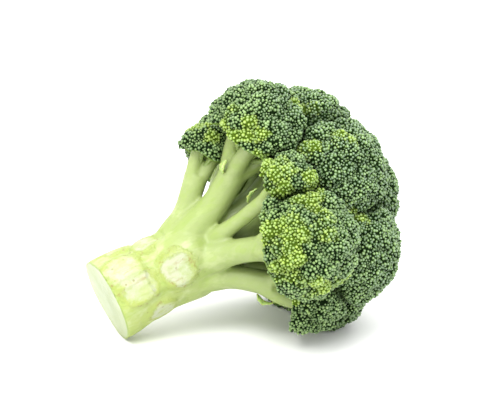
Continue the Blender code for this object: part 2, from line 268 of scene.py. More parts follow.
def with_modifiers(obj):
    """A new mesh of the object with its modifiers applied, after which the object is gone."""
    bpy.context.view_layer.update()
    graph = bpy.context.evaluated_depsgraph_get()
    mesh = bpy.data.meshes.new_from_object(
        obj.evaluated_get(graph), preserve_all_data_layers=True, depsgraph=graph
    )
    bpy.data.objects.remove(obj)
    return mesh


def grown_together(name, mesh, size, rounds):
    """The mesh as one skin over all its overlapping shapes, eased where they meet."""
    obj = link(name, mesh)
    join = obj.modifiers.new("Grow together", "REMESH")
    join.mode = "VOXEL"
    join.voxel_size = size
    ease = obj.modifiers.new("Ease", "SMOOTH")
    ease.factor = 0.5
    ease.iterations = rounds
    return with_modifiers(obj)


def points_of(mesh):
    points = np.empty(len(mesh.vertices) * 3)
    mesh.vertices.foreach_get("co", points)
    return points.reshape(-1, 3)


def normals_of(mesh):
    normals = np.empty(len(mesh.vertices) * 3)
    mesh.vertex_normals.foreach_get("vector", normals)
    return normals.reshape(-1, 3)


def set_points(mesh, points):
    mesh.vertices.foreach_set("co", points.ravel())
    mesh.update()


def set_attribute(mesh, name, values):
    made = mesh.attributes.get(name) or mesh.attributes.new(name, "FLOAT", "POINT")
    made.data.foreach_set("value", np.asarray(values, np.float32))


def noise_at(points, scale, offset=0.0):
    """Smooth noise from -1 to 1 at each point."""
    shift = Vector((offset, 0, 0))
    return np.array([noise.noise(Vector(point) * scale + shift) for point in points])


def finished(obj, slot, *nodes):
    """Hands the piece to the frame: smooths it, hides the CAD parts that it stands for and hangs it on the root body.
    The slot is not used.
    """
    obj.data.shade_smooth()
    if nodes:
        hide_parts(*nodes)
    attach(obj, "root")
    return obj


# Shader nodes


class Shades:
    """Adds shader nodes to a new material, and links them by value."""

    def __init__(self, name):
        self.material = bpy.data.materials.new(name)
        self.material.use_nodes = True
        self.tree = self.material.node_tree
        self.shader = self.tree.nodes["Principled BSDF"]

    def put(self, socket, value):
        if isinstance(value, bpy.types.NodeSocket):
            self.tree.links.new(value, socket)
        else:
            socket.default_value = value

    def plant(self):
        """Where a point is on the upright plant."""
        spot = self.tree.nodes.new("ShaderNodeTexCoord").outputs["Object"]
        turned = self.tree.nodes.new("ShaderNodeMapping")
        turned.vector_type = "TEXTURE"
        turned.inputs["Location"].default_value = LIES.translation
        turned.inputs["Rotation"].default_value = LIES.to_euler()
        self.put(turned.inputs["Vector"], spot)
        return turned.outputs["Vector"]

    def stretched(self, vector, scale):
        node = self.tree.nodes.new("ShaderNodeMapping")
        node.inputs["Scale"].default_value = scale
        self.put(node.inputs["Vector"], vector)
        return node.outputs["Vector"]

    def attribute(self, name):
        node = self.tree.nodes.new("ShaderNodeAttribute")
        node.attribute_name = name
        return node.outputs["Fac"]

    def noise(self, vector, scale, detail=2.0, roughness=0.5):
        node = self.tree.nodes.new("ShaderNodeTexNoise")
        node.inputs["Scale"].default_value = scale
        node.inputs["Detail"].default_value = detail
        node.inputs["Roughness"].default_value = roughness
        self.put(node.inputs["Vector"], vector)
        return node.outputs["Fac"]

    def cells(self, vector, scale, feature="F1"):
        node = self.tree.nodes.new("ShaderNodeTexVoronoi")
        node.feature = feature
        node.inputs["Scale"].default_value = scale
        self.put(node.inputs["Vector"], vector)
        return node.outputs["Distance"]

    def math(self, operation, first, second=0.0):
        node = self.tree.nodes.new("ShaderNodeMath")
        node.operation = operation
        self.put(node.inputs[0], first)
        self.put(node.inputs[1], second)
        return node.outputs[0]

    def between(self, value, low, high, start=0.0, end=1.0):
        node = self.tree.nodes.new("ShaderNodeMapRange")
        node.interpolation_type = "SMOOTHSTEP"
        for name, number in zip(("Value", "From Min", "From Max", "To Min", "To Max"), (value, low, high, start, end)):
            self.put(node.inputs[name], number)
        return node.outputs["Result"]

    def mix(self, share, first, second, kind="MIX"):
        node = self.tree.nodes.new("ShaderNodeMix")
        node.data_type = "RGBA"
        node.blend_type = kind
        self.put(node.inputs[0], share)
        self.put(node.inputs[6], first)
        self.put(node.inputs[7], second)
        return node.outputs[2]

    def bump(self, height, strength, distance, under=None):
        node = self.tree.nodes.new("ShaderNodeBump")
        node.inputs["Strength"].default_value = strength
        node.inputs["Distance"].default_value = distance
        self.put(node.inputs["Height"], height)
        if under:
            self.put(node.inputs["Normal"], under)
        return node.outputs["Normal"]


def skin_material(settings):
    """Smooth pale skin with fine fibres, painted shade high up among the stems, flesh where leaves were sliced off, and
    the cut face of the butt.
    """
    s = Shades("stalk_skin")
    plant = s.plant()
    split = s.tree.nodes.new("ShaderNodeSeparateXYZ")
    s.put(split.inputs[0], plant)
    height = split.outputs["Z"]
    fibres = s.noise(s.stretched(plant, (420, 420, 26)), 1.0, 3.0, 0.6)
    patches = s.noise(plant, 70, 3.0, 0.55)
    upwards = s.between(height, 0.012, 0.062)
    skin = s.mix(upwards, settings.pale_skin, settings.skin)
    mottled = s.noise(s.stretched(plant, (120, 120, 75)), 1.0, 4.0, 0.6)
    near_butt = s.between(height, 0.066, 0.040, 0.25, 1.0)
    pale = s.math("MULTIPLY", s.between(mottled, 0.50, 0.66, 0.0, 0.70), near_butt)
    green = s.math("MULTIPLY", s.between(mottled, 0.46, 0.32, 0.0, 0.60), near_butt)
    skin = s.mix(pale, skin, (0.44, 0.49, 0.25, 1))
    skin = s.mix(green, skin, (0.26, 0.36, 0.07, 1))
    skin = s.mix(s.between(fibres, 0.35, 0.75, 0.0, 0.30), skin, (0.25, 0.35, 0.07, 1))
    ridges = s.noise(s.stretched(plant, (190, 190, 11)), 1.0, 1.0, 0.4)
    skin = s.mix(s.between(ridges, 0.56, 0.63, 0.0, 0.32), skin, (0.24, 0.34, 0.05, 1))
    # Painted shade: the skin darkens high up near the axis, among the stems under the crowns.
    deep = s.attribute("deep")
    skin = s.mix(s.math("MULTIPLY", deep, 0.75), skin, (0.13, 0.22, 0.03, 1))

    scar = s.attribute("scar")
    wobble = s.math("MULTIPLY", s.math("SUBTRACT", s.noise(plant, 150, 4.0, 0.65), 0.5), 1.3)
    edge = s.math("ADD", scar, wobble)
    inside = s.between(edge, 1.12, 0.62)
    rim = s.math("MULTIPLY", s.between(edge, 1.30, 1.06), s.between(edge, 0.80, 1.0))
    strands = s.noise(s.stretched(plant, (700, 700, 90)), 1.0, 3.0, 0.6)
    flesh = s.mix(s.between(patches, 0.35, 0.7, 0.0, 0.6), settings.flesh, (0.45, 0.43, 0.31, 1))
    flesh = s.mix(s.between(strands, 0.50, 0.70, 0.0, 0.52), flesh, (0.32, 0.34, 0.16, 1))
    stain = s.between(s.noise(s.stretched(plant, (300, 300, 130)), 1.0, 4.0, 0.65), 0.56, 0.74, 0.0, 0.60)
    flesh = s.mix(stain, flesh, (0.30, 0.21, 0.09, 1))
    dots = s.between(s.cells(plant, 300), 0.24, 0.12)
    ring = s.math("MULTIPLY", s.between(edge, 0.30, 0.50), s.between(edge, 0.95, 0.75))
    flesh = s.mix(s.math("MULTIPLY", s.math("MULTIPLY", dots, ring), 0.7), flesh, (0.20, 0.13, 0.05, 1))
    patchy = s.between(s.noise(plant, 130, 4.0, 0.65), 0.36, 0.62, 0.35, 0.97)
    colour = s.mix(s.math("MULTIPLY", inside, patchy), skin, flesh)
    colour = s.mix(s.math("MULTIPLY", rim, 0.40), colour, (0.29, 0.34, 0.06, 1))
    scabs = s.math("MULTIPLY", rim, s.between(s.noise(plant, 260, 3.0, 0.6), 0.56, 0.68))
    colour = s.mix(s.math("MULTIPLY", scabs, 0.65), colour, (0.24, 0.17, 0.06, 1))
    specks = s.math("MULTIPLY", s.between(s.cells(plant, 95), 0.10, 0.05), s.between(height, 0.060, 0.045))
    colour = s.mix(s.math("MULTIPLY", specks, 0.6), colour, (0.16, 0.13, 0.04, 1))

    across = s.attribute("across")
    face = s.between(s.attribute("face"), 0.4, 0.6)
    pith = s.mix(s.between(across, 0.2, 0.85), (0.31, 0.36, 0.19, 1), (0.345, 0.39, 0.215, 1))
    bundles = s.between(s.cells(plant, 330), 0.22, 0.10)
    bundle_ring = s.math("MULTIPLY", s.between(across, 0.66, 0.74), s.between(across, 0.88, 0.80))
    pith = s.mix(s.math("MULTIPLY", s.math("MULTIPLY", bundles, bundle_ring), 0.5), pith, (0.27, 0.33, 0.13, 1))
    pith = s.mix(s.between(across, 0.93, 0.985), pith, (0.27, 0.35, 0.09, 1))
    colour = s.mix(face, colour, pith)
    s.put(s.shader.inputs["Base Color"], colour)

    rough = s.between(patches, 0.3, 0.7, 0.34, 0.50)
    rough = s.math("ADD", rough, s.math("MULTIPLY", inside, 0.16))
    s.put(s.shader.inputs["Roughness"], rough)
    sliced = s.math("ADD", s.math("MULTIPLY", strands, inside), s.math("MULTIPLY", rim, 1.5))
    fine = s.bump(s.math("ADD", fibres, sliced), 0.40, 0.0007)
    s.put(s.shader.inputs["Normal"], s.bump(s.noise(plant, 900, 2.0), 0.12, 0.0003, fine))
    s.shader.inputs["Specular IOR Level"].default_value = 0.42
    s.shader.inputs["Subsurface Weight"].default_value = 0.18
    s.shader.inputs["Subsurface Radius"].default_value = (0.9, 1.0, 0.35)
    s.shader.inputs["Subsurface Scale"].default_value = 0.004
    return s.material


def bud_material(settings):
    """Waxy green buds, each of its own tone, some of them young, with painted shade towards their feet and in the
    hollows, and a painted highlight on their tips.
    """
    s = Shades("flower_buds")
    plant = s.plant()
    shade = s.attribute("shade")
    tip = s.attribute("tip")
    young = s.attribute("young")
    hollow = s.attribute("hollow")
    under = s.attribute("under")
    broad = s.noise(plant, 60, 2.0)
    mixed = s.math("ADD", s.math("MULTIPLY", shade, 0.8), s.math("MULTIPLY", s.math("SUBTRACT", broad, 0.5), 0.9))
    green = s.mix(s.between(mixed, 0.05, 1.0), settings.dark, settings.light)
    fresh = s.mix(s.between(shade, 0.2, 1.0), (0.19, 0.31, 0.04, 1), settings.young)
    spread = s.math("MULTIPLY", s.math("SUBTRACT", shade, 0.5), 0.28)
    fresh_share = s.between(s.math("ADD", young, spread), 0.30, 0.85)
    green = s.mix(fresh_share, green, fresh)
    split = s.tree.nodes.new("ShaderNodeSeparateXYZ")
    s.put(split.inputs[0], plant)
    # Painted highlight on the tops of the buds, bluer higher up on the head.
    painted_tip_highlight = s.mix(s.between(split.outputs["Z"], 0.080, 0.130), (0.38, 0.49, 0.20, 1), (0.37, 0.47, 0.36, 1))
    green = s.mix(s.between(tip, 0.74, 1.0, 0.0, 0.42), green, painted_tip_highlight)
    # Painted shade at the feet of the buds and on the core between them, lighter where buds are young.
    foot = s.mix(s.math("MULTIPLY", fresh_share, 0.6), settings.gap, (0.10, 0.17, 0.01, 1))
    colour = s.mix(s.between(tip, 0.22, 0.72), foot, green)
    # Painted shade in the hollows, the creases between bunches and the clefts between crowns.
    colour = s.mix(s.math("MULTIPLY", hollow, 0.90), colour, settings.gap)
    # The underside of a crown takes a stem green, darkened as painted shade under the crown.
    shaded_underside = s.mix(s.noise(plant, 220, 2.0), (0.08, 0.15, 0.02, 1), (0.22, 0.34, 0.07, 1))
    colour = s.mix(under, colour, shaded_underside)
    s.put(s.shader.inputs["Base Color"], colour)
    s.put(s.shader.inputs["Roughness"], s.between(shade, 0.0, 1.0, 0.38, 0.55))
    s.put(s.shader.inputs["Normal"], s.bump(s.noise(plant, 1500, 2.0), 0.25, 0.0003))
    gloss = s.math("MULTIPLY", s.between(tip, 0.35, 0.85, 0.03, 0.6), s.math("SUBTRACT", 1.0, hollow))
    s.put(s.shader.inputs["Specular IOR Level"], gloss)
    s.put(s.shader.inputs["Sheen Weight"], s.math("MULTIPLY", gloss, 0.08))
    s.shader.inputs["Sheen Roughness"].default_value = 0.4
    return s.material


def leaf_material():
    """A thin bright leaf with a pale midrib."""
    s = Shades("leaf")
    plant = s.plant()
    rib = s.attribute("rib")
    mottled = s.noise(plant, 300, 3.0)
    green = s.mix(mottled, (0.24, 0.36, 0.07, 1), (0.36, 0.47, 0.15, 1))
    green = s.mix(s.between(rib, 0.20, 0.05), green, (0.58, 0.70, 0.30, 1))
    s.put(s.shader.inputs["Base Color"], green)
    s.shader.inputs["Roughness"].default_value = 0.42
    s.put(s.shader.inputs["Normal"], s.bump(mottled, 0.3, 0.0004))
    s.shader.inputs["Subsurface Weight"].default_value = 0.2
    s.shader.inputs["Subsurface Scale"].default_value = 0.002
    return s.material


# Stalk and stems


def add_branch(curve, points, radii):
    """A tapered branch along a smooth line."""
    spline = curve.splines.new("NURBS")
    spline.points.add(len(points) - 1)
    for place, point, radius in zip(spline.points, points, radii):
        place.co = (*point, 1)
        place.radius = radius
    spline.order_u = 3
    spline.use_endpoint_u = True
    spline.resolution_u = 8


def branches_mesh(name, fill, sides):
    """The mesh of the branches that fill(curve) adds."""
    curve = bpy.data.curves.new(name, "CURVE")
    curve.dimensions = "3D"
    curve.bevel_depth = 1
    curve.bevel_resolution = sides
    curve.use_fill_caps = True
    fill(curve)
    return with_modifiers(link(name, curve))


def stems_and_twigs(curve):
    for floret in FLORETS:
        root, bend, fork, axis = stem_line(floret)
        centre = ball_centre(floret)
        size = floret.stem_radius or 0.0070
        if floret.twigs:
            out = (fork - root).normalized()
            foot = root + out * 0.010
            line = [root, foot, bend, fork.lerp(bend, 0.3), fork - axis * 0.002]
            add_branch(curve, line, [size * 1.7, size * 1.3, size, size * 1.04, size * 1.08])
        side = axis.orthogonal().normalized()
        count = floret.twigs or 4
        for i in range(count):
            turned = Matrix.Rotation(2 * math.pi * (i + 0.3) / count, 3, axis)
            spread = turned @ side * (TWIG_SPREAD * floret.radius)
            start = fork - axis * (size + 0.003) + spread * 0.15
            middle = start.lerp(centre + spread, 0.5) + spread * 0.30
            end = centre + spread * 1.45 + axis * (0.30 * floret.radius)
            add_branch(curve, [start, middle, centre + spread * 1.1, end], [size * x for x in (0.72, 0.62, 0.52, 0.40)])


def trunk_mesh():
    """The thick stalk, a little fluted and uneven."""
    bm = bmesh.new()
    top = STALK_HEIGHTS[-1]
    heights = [top * i / 60 for i in range(61)]
    line = [bm.verts.new((stalk_radius(h), 0, h)) for h in heights]
    line = [bm.verts.new((0, 0, 0)), *line, bm.verts.new((0, 0, top + 0.003))]
    edges = [bm.edges.new(pair) for pair in zip(line, line[1:])]
    bmesh.ops.spin(
        bm, geom=line + edges, cent=(0, 0, 0), axis=UP, angle=2 * math.pi, steps=72, use_merge=True
    )
    bmesh.ops.remove_doubles(bm, verts=bm.verts, dist=1e-6)
    bmesh.ops.recalc_face_normals(bm, faces=bm.faces)
    for vertex in bm.verts:
        turn = math.atan2(vertex.co.y, vertex.co.x)
        share = min(vertex.co.z / STALK_HEIGHTS[2], 1)
        swell = 1 + 0.030 * math.cos(3 * turn + 0.6) + 0.015 * math.cos(5 * turn + 9 * vertex.co.z / top)
        swell += 0.02 * share * noise.noise(vertex.co * 60) + 0.012 * noise.noise(vertex.co * 150)
        vertex.co.x *= swell
        vertex.co.y *= swell
    mesh = bpy.data.meshes.new("trunk")
    bm.to_mesh(mesh)
    bm.free()
    return mesh


def joined_mesh(name, meshes):
    bm = bmesh.new()
    for mesh in meshes:
        bm.from_mesh(mesh)
    made = bpy.data.meshes.new(name)
    bm.to_mesh(made)
    bm.free()
    return made


def slice_scars(points):
    """Raises a stub at each scar and slices it flat. Returns each point's distance from the nearest scar's middle,
    in half widths of that scar."""
    nearest = np.full(len(points), NO_SCAR)
    flat = points.copy()
    flat[:, 2] = 0
    radial = flat / np.maximum(np.linalg.norm(flat, axis=1), 1e-6)[:, None]
    for scar in SCARS:
        middle = np.array(around(scar.turn, stalk_radius(scar.height), scar.height))
        outwards = np.array(around(scar.turn, 1, math.tan(math.radians(scar.lean))).normalized())
        sideways = np.array(around(scar.turn + 90, 1, 0))
        off = points - middle
        away = np.hypot(off @ sideways / scar.across, off[:, 2] / scar.along)
        away[(radial @ outwards < 0.3) | (np.linalg.norm(off, axis=1) > 0.03)] = NO_SCAR
        near = away < 1.9
        lift = STUB_RISE * np.exp(-((away[near] / 1.05) ** 4))
        moved = points[near] + radial[near] * lift[:, None]
        above = np.maximum((moved - middle) @ outwards - scar.stands, 0)
        moved -= radial[near] * (above / (radial[near] @ outwards))[:, None]
        sunk = np.linalg.norm(points[near, :2], axis=1) - np.linalg.norm(moved[:, :2], axis=1)
        moved += radial[near] * np.maximum(sunk - 0.0010, 0)[:, None]
        points[near] = moved
        nearest = np.minimum(nearest, away)
    return nearest


def make_stalk(settings, finish):
    """The stalk and the stems as one grown piece."""
    tubes = branches_mesh("stems", stems_and_twigs, 5)
    mesh = joined_mesh("stalk_and_stems", [trunk_mesh(), tubes])
    mesh = grown_together("stalk_and_stems", mesh, settings.fineness, 7)
    points = points_of(mesh)
    points[:, 2] = np.maximum(points[:, 2], 0)
    points[points[:, 2] < 0.0008, 2] = 0
    scar = slice_scars(points)
    radius = np.hypot(points[:, 0], points[:, 1])
    turns = np.arctan2(points[:, 1], points[:, 0])
    rim = points[:, 2] < 0.004
    looks = np.linspace(-math.pi, math.pi, 73)
    apart = [np.abs(np.angle(np.exp(1j * (turns - look)))) for look in looks]
    widest = np.interp(turns, looks, [radius[rim & (near < 0.09)].max() for near in apart])
    set_attribute(mesh, "face", points[:, 2] < 1e-6)
    low = np.clip(1 - points[:, 2] / STALK_HEIGHTS[1], 0, 1)
    points[:, 2] += BUTT_SLOPE * low * (points @ np.array(around(BUTT_FACES, 1, 0)))
    set_points(mesh, points)
    set_attribute(mesh, "scar", scar)
    set_attribute(mesh, "across", radius / widest)
    # Painted shade high up near the axis, among the stems under the crowns.
    deep = np.clip((points[:, 2] - 0.070) / 0.030, 0, 1) * np.clip(1.25 - radius / 0.045, 0, 1)
    set_attribute(mesh, "deep", deep)
    mesh.transform(LIES)
    mesh.materials.append(finish)
    obj = link("stalk_and_stems", mesh)
    stems = ["stem_" + floret.name for floret in FLORETS if floret.twigs]
    return finished(obj, "stalk_skin", "stalk", *stems)


# Crowns


def crown_core(floret):
    """The crown's body, a cap of its ball with rounded edges, a wavy rim and a hollow underneath."""
    centre, axis = ball_centre(floret), stem_line(floret)[3]
    direction = dome_direction(floret.turn, floret.lean)
    bm = bmesh.new()
    bmesh.ops.create_icosphere(bm, subdivisions=4, radius=floret.radius, matrix=Matrix.Translation(centre))
    drop, up = (CROWN_DROP, axis) if floret.twigs else (CROWN_DEPTH, direction)
    cut = bmesh.ops.bisect_plane(
        bm,
        geom=bm.verts[:] + bm.edges[:] + bm.faces[:],
        plane_co=centre - up * (drop * floret.radius),
        plane_no=-up,
        clear_outer=True,
    )
    bmesh.ops.edgeloop_fill(bm, edges=[e for e in cut["geom_cut"] if isinstance(e, bmesh.types.BMEdge)])
    mesh = bpy.data.meshes.new("core")
    bm.to_mesh(mesh)
    bm.free()
    mesh = grown_together("core", mesh, 0.0012, 14)
    points, normals = points_of(mesh), normals_of(mesh)
    inwards = np.array(axis) + np.array(direction)
    inwards /= np.linalg.norm(inwards)
    off = (points - np.array(centre)) / floret.radius
    rise = off @ inwards
    out = np.linalg.norm(off - rise[:, None] * inwards, axis=1)
    below = np.clip(-(normals @ inwards) * 1.6 - 0.3, 0, 1) * (rise < 0.35)
    lift = below * 0.42 * np.clip(1 - (out / 0.85) ** 2, 0, 1) * floret.radius
    rim = np.clip((0.5 - rise) * 2, 0, 1) * np.clip((out - 0.5) * 4, 0, 1)
    lift += rim * 0.0038 * noise_at(points, 95)
    set_points(mesh, points + inwards * lift[:, None])
    return mesh, below


def spread_seeds(points, spacing, chance):
    """Points picked at random, none nearer to another than the spacing."""
    left = np.arange(len(points))
    picked = []
    while len(left):
        pick = left[chance.integers(len(left))]
        picked.append(pick)
        left = left[np.linalg.norm(points[left] - points[pick], axis=1) > spacing]
    return points[picked]


def bunched(points, seeds, width):
    """How high each point stands on its bunch, from 0 in the creases to 1 on top, and which bunch it is on."""
    nearest = np.full(len(points), 9.0)
    second = np.full(len(points), 9.0)
    owner = np.zeros(len(points), int)
    for i, seed in enumerate(seeds):
        away = np.linalg.norm(points - seed, axis=1)
        second = np.minimum(second, np.maximum(away, nearest))
        owner[away < nearest] = i
        nearest = np.minimum(nearest, away)
    dome = np.clip(1 - (nearest / (0.78 * width)) ** 2, 0, 1)
    crease = np.clip((second - nearest) / (0.35 * width), 0, 1)
    return 0.6 * dome + 0.4 * eased(crease), owner


def openness(points, normals, tree, reach, chance):
    """The share of the directions above each point that meets nothing within reach."""
    rays = 12
    open_share = np.zeros(len(points))
    slants = [Vector(chance.normal(size=3)).normalized() for _ in range(rays)]
    for i, (point, normal) in enumerate(zip(points, normals)):
        up = Vector(normal)
        start = Vector(point) + up * 0.0012
        clear = 0
        for slant in slants:
            way = slant if slant.dot(up) > 0 else -slant
            way = (way + up * 0.35).normalized()
            clear += tree.ray_cast(start, way, reach)[0] is None
        open_share[i] = clear / rays
    return open_share


def bud_mesh():
    """One closed flower bud, one unit wide, with its foot below the surface that it stands on."""
    bm = bmesh.new()
    bmesh.ops.create_uvsphere(bm, u_segments=6, v_segments=5, radius=0.5)
    cut = bmesh.ops.bisect_plane(
        bm, geom=bm.verts[:] + bm.edges[:] + bm.faces[:], plane_co=(0, 0, -0.2), plane_no=(0, 0, -1), clear_outer=True
    )
    rim = [e for e in cut["geom_cut"] if isinstance(e, bmesh.types.BMEdge)]
    bmesh.ops.edgeloop_fill(bm, edges=rim)
    bmesh.ops.scale(bm, vec=(1, 1, 1.25), verts=bm.verts)
    bmesh.ops.recalc_face_normals(bm, faces=bm.faces)
    uv = bm.loops.layers.uv.new("petal")
    low = min(v.co.z for v in bm.verts)
    for face in bm.faces:
        is_foot = all(v.co.z < low + 1e-5 for v in face.verts)
        for loop in face.loops:
            turn = math.atan2(loop.vert.co.y, loop.vert.co.x)
            away = math.acos(max(-1, min(1, loop.vert.co.z / max(loop.vert.co.length, 1e-6)))) / 2.1
            if is_foot:
                loop[uv].uv = (0.06 + 0.04 * math.cos(turn), 0.06 + 0.04 * math.sin(turn))
            else:
                loop[uv].uv = (0.5 + 0.46 * away * math.cos(turn), 0.5 + 0.46 * away * math.sin(turn))
    mesh = bpy.data.meshes.new("bud")
    bm.to_mesh(mesh)
    bm.free()
    heights = points_of(mesh)[:, 2]
    set_attribute(mesh, "tip", (heights - heights.min()) / np.ptp(heights))
    mesh.shade_smooth()
    return mesh


def scatter_tree(settings, bud):
    """Geometry nodes that stand buds all over a crown's core, as thickly as its room attribute says."""
    tree = bpy.data.node_groups.new("Buds on a crown", "GeometryNodeTree")
    tree.interface.new_socket("Geometry", in_out="INPUT", socket_type="NodeSocketGeometry")
    tree.interface.new_socket("Geometry", in_out="OUTPUT", socket_type="NodeSocketGeometry")

    def node(kind, inputs=None, **options):
        made = tree.nodes.new(kind)
        for name, value in options.items():
            setattr(made, name, value)
        for name, value in (inputs or {}).items():
            if isinstance(value, bpy.types.NodeSocket):
                tree.links.new(value, made.inputs[name])
            else:
                made.inputs[name].default_value = value
        return made

    def named(name):
        return node("GeometryNodeInputNamedAttribute", {"Name": name}, data_type="FLOAT").outputs["Attribute"]

    def random(low, high, seed):
        made = node("FunctionNodeRandomValue", data_type="FLOAT")
        made.inputs[2].default_value = low
        made.inputs[3].default_value = high
        made.inputs["Seed"].default_value = seed
        return made.outputs[1]

    core = node("NodeGroupInput").outputs[0]
    points = node(
        "GeometryNodeDistributePointsOnFaces",
        {
            "Mesh": core,
            "Distance Min": settings.spacing,
            "Density Max": 2.2 / settings.spacing**2,
            "Density Factor": named("room"),
            "Seed": SEED,
        },
        distribute_method="POISSON",
    )
    spin = node("FunctionNodeAxisAngleToRotation", {"Axis": (0, 0, 1), "Angle": random(0, 6.28, 1)})
    lean = node("FunctionNodeAxisAngleToRotation", {"Axis": (1, 0, 0), "Angle": random(-0.45, 0.45, 2)})
    turned = node("FunctionNodeRotateRotation", {"Rotation": points.outputs["Rotation"], "Rotate By": spin.outputs[0]})
    turned.rotation_space = "LOCAL"
    turned = node("FunctionNodeRotateRotation", {"Rotation": turned.outputs[0], "Rotate By": lean.outputs[0]})
    turned.rotation_space = "LOCAL"
    smaller = node("ShaderNodeMath", operation="MULTIPLY")
    tree.links.new(random(settings.size * 0.72, settings.size * 1.26, 3), smaller.inputs[0])
    tree.links.new(named("grown"), smaller.inputs[1])
    buds = node(
        "GeometryNodeInstanceOnPoints",
        {
            "Points": points.outputs["Points"],
            "Instance": node("GeometryNodeObjectInfo", {"Object": bud}).outputs["Geometry"],
            "Rotation": turned.outputs[0],
            "Scale": smaller.outputs[0],
        },
    )
    stand = node("ShaderNodeCombineXYZ", {"Z": random(-0.00025, 0.00035, 5)})
    raised = node(
        "GeometryNodeTranslateInstances", {"Instances": buds.outputs[0], "Translation": stand.outputs[0]}
    )
    raised.inputs["Local Space"].default_value = True
    shaded = node(
        "GeometryNodeStoreNamedAttribute",
        {"Geometry": raised.outputs[0], "Name": "shade"},
        data_type="FLOAT",
        domain="INSTANCE",
    )
    tree.links.new(random(0, 1, 4), shaded.inputs["Value"])
    real = node("GeometryNodeRealizeInstances", {"Geometry": shaded.outputs[0]})
    both = node("GeometryNodeJoinGeometry")
    tree.links.new(real.outputs[0], both.inputs[0])
    tree.links.new(core, both.inputs[0])
    out = node("NodeGroupOutput")
    tree.links.new(both.outputs[0], out.inputs[0])
    return tree


def make_crowns(settings, finish):
    """Every crown: its core with bunches on it, and the buds that cover it."""
    chance = np.random.default_rng(SEED)
    cores = [(floret, *crown_core(floret)) for floret in FLORETS]
    everything = bmesh.new()
    for _, mesh, _ in cores:
        everything.from_mesh(mesh)
    tree = BVHTree.FromBMesh(everything)
    everything.free()
    bud = link("bud", bud_mesh())
    scatter = scatter_tree(settings, bud)
    patches = [(np.array(dome_direction(turn, lean)), width) for turn, lean, width in PATCHES]
    for floret, mesh, below in cores:
        points, normals = points_of(mesh), normals_of(mesh)
        clear = openness(points, normals, tree, 0.012, chance)
        rise = np.clip(1 - below * 2.2, 0, 1)
        bunch, _ = bunched(points, spread_seeds(points, settings.bunch, chance), settings.bunch)
        seeds = spread_seeds(points, settings.cluster, chance)
        cluster, owner = bunched(points, seeds, settings.cluster)
        # How far each point is outside the nearest other crown, and the cleft that it makes with that one.
        buried = np.full(len(points), 9.0)
        for other in FLORETS:
            if other != floret:
                off = points - np.array(ball_centre(other))
                apart = np.linalg.norm(off, axis=1) - other.radius
                apart[off @ np.array(stem_line(other)[3]) < 0.002 - CROWN_DROP * other.radius] = 9
                buried = np.minimum(buried, apart)
        cleft = np.clip(1 - buried / 0.0045, 0, 1) ** 1.5
        outer = rise * np.clip(clear * 2.5, 0, 1)
        swell = (0.0022 * bunch + 0.0016 * cluster - 0.0018) * outer - 0.0022 * (1 - outer) * rise
        swell += 0.0004 * noise_at(points, 600, 3) * outer - 0.0022 * cleft * outer
        points = points + normals * swell[:, None]
        # A crown that the head lies on is pressed flat there.
        to_sky = np.array(LIES.to_3x3().transposed() @ UP)
        sunk = FLOOR_GAP - (points @ to_sky + LIES.translation.z)
        points += to_sky * np.maximum(sunk, 0)[:, None]
        set_points(mesh, points)

        from_dome = seeds - np.array((0, 0, DOME_HEIGHT))
        way = from_dome / np.linalg.norm(from_dome, axis=1)[:, None]
        fresh = np.zeros(len(seeds))
        for direction, width in patches:
            away = np.linalg.norm(way - direction, axis=1) * DOME_RADIUS / (width * 1.5)
            fresh = np.maximum(fresh, 1.45 - away + chance.normal(size=len(seeds)) * 0.25)
        fresh = np.clip(fresh + chance.normal(size=len(seeds)) * 0.10, 0, 1)
        young = fresh[owner] * np.clip(1.3 - below, 0, 1)
        # How much painted shade each point gets: in hollows that open little to the sky, in the creases between bunches
        # and in the clefts between crowns, less where buds are young.
        hollow = np.clip(1.15 - clear * 1.7, 0, 1) * (1 - 0.6 * young)
        hollow = np.clip(hollow + 0.30 * (1 - cluster) + 0.32 * (1 - bunch) + 0.75 * cleft - 0.12, 0, 1)
        set_attribute(mesh, "young", young)
        set_attribute(mesh, "hollow", hollow)
        # The underside, which the bud material paints a stem green darkened as painted shade.
        set_attribute(mesh, "under", np.clip((below - 0.35) * 3, 0, 1))
        set_attribute(mesh, "room", np.clip((rise - 0.1) * 4, 0, 1) * (clear > 0) * (buried > -0.0018))
        set_attribute(mesh, "grown", 0.86 + 0.16 * cluster)
        set_attribute(mesh, "tip", np.zeros(len(points)))
        set_attribute(mesh, "shade", np.full(len(points), 0.3))
        core_faces = len(mesh.polygons)
        obj = link("crown", mesh)
        cover = obj.modifiers.new("Buds", "NODES")
        cover.node_group = scatter
        mesh = with_modifiers(obj)
        lay_out_bake(mesh, floret, core_faces, len(bud.data.polygons))
        mesh.transform(LIES)
        mesh.materials.clear()
        mesh.materials.append(finish)
        obj = link("crown_of_buds_" + floret.name, mesh)
        finished(obj, "flower_buds", "crown_" + floret.name)
    bpy.data.objects.remove(bud)


